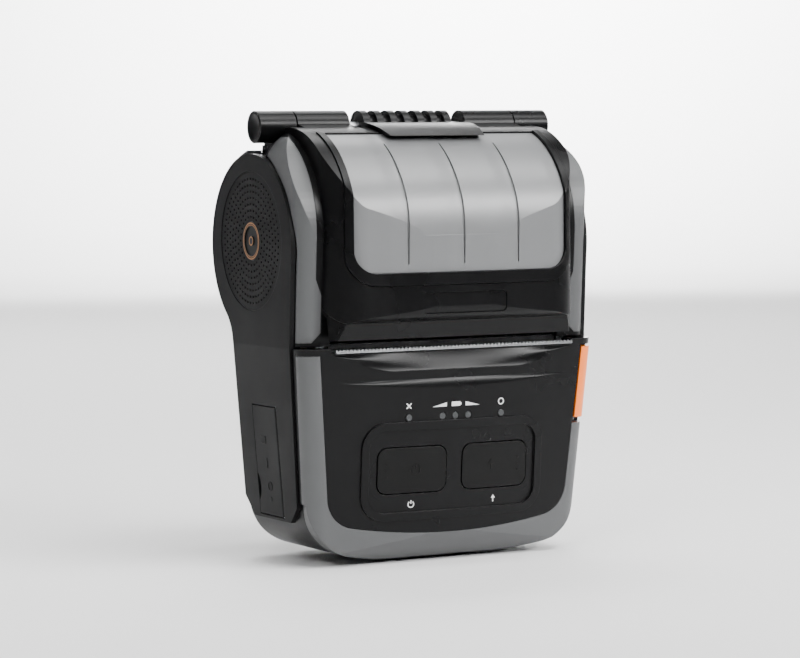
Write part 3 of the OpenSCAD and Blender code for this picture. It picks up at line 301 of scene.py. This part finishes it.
# The camera, fitted to the photograph: its angles, its target and distance in metres, the focal length and
# picture width in pixels, and the sensor's width in mm
AZ, EL, ROLL = math.radians(28.202), math.radians(3.390), math.radians(-0.614)
TARGET, DISTANCE = Vector((-0.00615, 0, 0.07068)), 0.94203
FOCAL, WIDTH, SENSOR = 3005.21, 800, 36
back = Vector((-math.sin(AZ) * math.cos(EL), -math.cos(AZ) * math.cos(EL), math.sin(EL)))
level = Vector((math.cos(AZ), -math.sin(AZ), 0))
rise = back.cross(level)
right = level * math.cos(ROLL) + rise * math.sin(ROLL)
up = rise * math.cos(ROLL) - level * math.sin(ROLL)
camera = bpy.data.objects.new("camera", bpy.data.cameras.new("camera"))
turn = Matrix((right, up, back)).transposed().to_4x4()
camera.matrix_world = Matrix.Translation(TARGET + back * DISTANCE) @ turn
camera.data.sensor_width = SENSOR
camera.data.lens = FOCAL / WIDTH * SENSOR
camera.data.clip_start = 0.01
bpy.context.scene.collection.objects.link(camera)
bpy.context.scene.camera = camera


def mesh_piece(name, points, faces, smooth=True):
    """A mesh object from arrays of points and faces, at the origin."""
    mesh = bpy.data.meshes.new(name)
    mesh.from_pydata([tuple(p) for p in points], [], [tuple(f) for f in faces])
    mesh.polygons.foreach_set("use_smooth", [smooth] * len(mesh.polygons))
    mesh.update()
    obj = bpy.data.objects.new(name, mesh)
    bpy.context.scene.collection.objects.link(obj)
    return obj


def meets(node, across, z, left=False):
    """How far along its ray, in mm on that axis, a node is met: seen from the front the ray runs along +Y
    at x = across, seen from the left it runs along +X at y = -across."""
    start = Vector((-0.2, -across * MM, z * MM)) if left else Vector((across * MM, -0.2, z * MM))
    hit = TREES[node].ray_cast(start, Vector((1, 0, 0) if left else (0, 1, 0)))[0]
    return (hit.x if left else hit.y) / MM


def ribbon(points, width, closed=False):
    """Flat strokes: each polyline point is moved half the width to either side along the bisector of
    its two segments; a closed line becomes two strips that meet."""
    p = np.asarray(points, float)
    if closed:
        half = len(p) // 2
        ring = np.vstack([p, p[:1]])
        return ribbon(ring[: half + 1], width) + ribbon(ring[half:], width)
    d = np.gradient(p, axis=0)
    d /= np.linalg.norm(d, axis=1)[:, None]
    side = np.stack([-d[:, 1], d[:, 0]], 1) * width / 2
    return [np.vstack([p + side, (p - side)[::-1]])]


def circle(x, z, r, count=24, start=0.0, end=360.0):
    """Points on a circle, or on its arc from start to end degrees."""
    a = np.radians(np.linspace(start, end, count, endpoint=(end - start) < 360))
    return np.stack([x + r * np.cos(a), z + r * np.sin(a)], 1)


def prisms(name, loops, node, lift, sink, finish, body, left=False):
    """Thin closed prisms over flat outlines (across, z) on a node's front or left face: every top point
    lies lift mm before the face and every bottom point sink mm behind it."""
    points, faces = [], []
    for loop in loops:
        loop = np.asarray(loop, float)
        area = np.sum(loop[:, 0] * np.roll(loop[:, 1], -1) - np.roll(loop[:, 0], -1) * loop[:, 1])
        if area < 0:
            loop = loop[::-1]
        start, n = len(points), len(loop)
        for shift in (-lift, sink):
            for across, z in loop:
                depth = meets(node, across, z, left) + shift
                point = (depth, -across, z) if left else (across, depth, z)
                points.append(tuple(c * MM for c in point))
        flat = [Vector((p[0], p[1], 0)) for p in loop]
        for a, b, c in tessellate_polygon([flat]):
            u, v = flat[b] - flat[a], flat[c] - flat[a]
            if u.x * v.y - u.y * v.x < 0:
                b, c = c, b
            faces.append((start + a, start + b, start + c))
            faces.append((start + n + a, start + n + c, start + n + b))
        faces += [(start + i, start + n + i, start + n + (i + 1) % n, start + (i + 1) % n) for i in range(n)]
    obj = mesh_piece(name, points, faces, smooth=False)
    obj.data.materials.append(finish)
    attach(obj, body)


def tree_of(obj):
    """A ray tree over a node's triangles."""
    mesh = obj.data
    return BVHTree.FromPolygons([v.co for v in mesh.vertices], [p.vertices for p in mesh.polygons])


TREES = {n: tree_of(NODES[n]) for n in ("front_panel", "power_button", "feed_button", "port_cover")}


# Name, place, aim, power in watts, size in metres and beam in degrees of each studio lamp
LAMPS = (
    ("strip_front", (0.5, -0.85, 0.62), (0, 0, 0.07), 3.6, (1.0, 0.22), 80),
    ("soft_over", (0.25, -0.45, 0.95), (0, 0, 0.08), 2.4, (0.8, 0.3), 90),
    ("key_left", (-0.8, -0.7, 1.0), (0, 0, 0.1), 1.2, (0.4, 0.6), 70),
    ("top", (0.3, 0.9, 1.3), (0.3, 0.85, 0), 12.0, (0.9, 0.7), 110),
    ("strip_over", (0.0, -0.05, 0.9), (0, 0, 0.1), 1.2, (0.9, 0.12), 90),
    ("wall_wash", (1.0, 1.2, 1.6), (1.3, 2.4, 0.3), 60.0, (0.5, 0.4), 80),
)


def lamp(name, place, aim, power, size, spread):
    """A soft rectangular studio lamp at place, turned to aim, its beam spread degrees wide."""
    light = bpy.data.lights.new(name, "AREA")
    light.shape, light.size, light.size_y = "RECTANGLE", size[0], size[1]
    light.energy, light.spread = power, math.radians(spread)
    obj = bpy.data.objects.new(name, light)
    turned = (Vector(aim) - Vector(place)).to_track_quat("-Z", "Y").to_matrix().to_4x4()
    obj.matrix_world = Matrix.Translation(place) @ turned
    bpy.context.scene.collection.objects.link(obj)


def studio():
    """A white paper bowl: a round floor, flat to 1.8 m, that turns up by a quarter circle of 0.8 m into a
    wall 3 m high. One lamp lights the floor behind the object and one the wall, and four light the object."""
    sides, flat, bend, high, below = 64, 1.8, 0.8, 3.0, 0.0004
    turn = np.linspace(0, np.pi / 2, 9)
    run = np.concatenate([[0.001, 0.6, 1.2], flat + bend * np.sin(turn), [flat + bend]])
    rise = np.concatenate([[0.0, 0.0, 0.0], bend - bend * np.cos(turn), [high]]) - below
    around = np.linspace(0, 2 * np.pi, sides, endpoint=False)
    points = np.stack([np.outer(np.cos(around), run), np.outer(np.sin(around), run),
                       np.outer(np.ones(sides), rise)], -1).reshape(-1, 3)
    n = len(run)
    faces = [(i * n + j, i * n + j + 1, (i + 1) % sides * n + j + 1, (i + 1) % sides * n + j)
             for i in range(sides) for j in range(n - 1)] + [tuple(i * n for i in range(sides))[::-1]]
    floor = mesh_piece("studio_floor", points, faces)
    material, tree, shader = surface("white_paper_sweep", Roughness=0.85)
    grain = add(tree, "ShaderNodeTexNoise", {"Scale": 6.0})
    tint = add(tree, "ShaderNodeMapRange", {"Value": grain.outputs["Fac"], "To Min": 0.8, "To Max": 0.84})
    white = add(tree, "ShaderNodeCombineColor", {c: tint.outputs["Result"] for c in ("Red", "Green", "Blue")})
    tree.links.new(white.outputs["Color"], shader.inputs["Base Color"])
    floor.data.materials.append(material)
    for name, *rest in LAMPS:
        lamp(name, *rest)
    world = bpy.data.worlds.new("studio_air")
    bpy.context.scene.world = world
    world.use_nodes = True
    world.node_tree.nodes["Background"].inputs["Color"].default_value = linear("#ffffff")
    world.node_tree.nodes["Background"].inputs["Strength"].default_value = 0.05


# In mm: the places of the marks, the widths of their strokes, and how far raised marks stand out and reach in
LABEL_Z, BUTTON_X, BUTTON_Z = 48.6, 14.5, 28.8
CROSS_X, RING_X = -16.2, 16.2
UNDER_KEYS = BUTTON_Z - 10.7
STROKE, THICK_STROKE = 0.34, 0.36
RAISED, SUNK = 0.12, 0.1


def box(x, z, wide, high):
    """Outline of a rectangle about its middle."""
    return np.array([(x - wide / 2, z - high / 2), (x + wide / 2, z - high / 2),
                     (x + wide / 2, z + high / 2), (x - wide / 2, z + high / 2)])


def power_mark(x, z, size):
    """Open ring with an upright stroke in its gap."""
    gap_end, gap_start = 125, 415
    ring = ribbon(circle(x, z, size, 20, gap_end, gap_start), STROKE)
    return ring + [box(x, z + 0.77 * size, STROKE, 1.1 * size)]


def feed_mark(x, z, size):
    """Arrow pointing up: a stem under a triangle."""
    head = [(x - 0.8 * size, z + 0.2 * size), (x + 0.8 * size, z + 0.2 * size), (x, z + 1.3 * size)]
    return [box(x, z - 0.35 * size, THICK_STROKE, 1.3 * size), np.array(head)]


def printed_marks():
    """Plain pictograms in white ink over the lights and under the buttons."""
    ink = moulded("white_pad_print", "#e2e2e2", 0.5, 0.3, 0.05, mottle=0.02, edge=0.02)
    loops = []
    for slope in (-0.8, 0.8):
        loops += ribbon([(CROSS_X - 0.8, LABEL_Z - slope), (CROSS_X + 0.8, LABEL_Z + slope)], THICK_STROKE)
    loops += ribbon(circle(RING_X, LABEL_Z, 0.9), STROKE, closed=True)
    # A battery between a wedge that grows and one that shrinks
    loops += [box(0, LABEL_Z, 3, 1.4), box(1.7, LABEL_Z, 0.4, 0.7)]
    low, high = LABEL_Z - 0.7, LABEL_Z + 0.6
    loops += [np.array([(-8.2, low), (-3.2, low), (-3.2, high)])]
    loops += [np.array([(3.4, high), (3.4, low), (8.4, low)])]
    loops += power_mark(-BUTTON_X, UNDER_KEYS, 0.95) + feed_mark(BUTTON_X, UNDER_KEYS, 0.95)
    prisms("panel_print", loops, "front_panel", 0.03, 0.05, ink, "base")


def raised_marks():
    """Marks moulded on the keys, three dots by each outer edge, and symbols on the port cover."""
    for key, side, mark in (("power_button", -1, power_mark), ("feed_button", 1, feed_mark)):
        x = side * BUTTON_X
        dots = [circle(x + side * 8.6, BUTTON_Z + d, 0.32, 12) for d in (-2, 0, 2)]
        loops = mark(x - side * 1.2, BUTTON_Z, 1.5) + dots
        prisms(key + "_marks", loops, key, RAISED, SUNK, FINISHES["button_black"],
               body_of(NODES[key])[0])
    # A plug's outline, a bar, and a ring over a dot, down the port cover
    line = 0.4
    loops = [box(-8.6, 38.6, 3.4, line), box(-8.6, 36.6, 3.4, line), box(-7.1, 37.6, line, 1.7)]
    loops += [box(-7.2, 30.4, line, 3.0)]
    loops += ribbon(circle(-6.3, 23.2, 1.3), line, closed=True) + [circle(-6.3, 19.2, 0.8, 16)]
    prisms("port_cover_marks", loops, "port_cover", RAISED, SUNK, FINISHES["charcoal_abs"],
           body_of(NODES["port_cover"])[0], left=True)


def coil(node):
    """A copy of a coil spring that stands for its node, carried by the base."""
    mesh = NODES[node].data.copy()
    mesh.transform(NODES[node].matrix_world)
    obj = bpy.data.objects.new(node + "_coil", mesh)
    bpy.context.scene.collection.objects.link(obj)
    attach(obj, "base")
    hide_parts(node)
    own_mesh(obj)


printed_marks()
raised_marks()
coil("battery_latch_spring")
coil("head_springs")
studio()
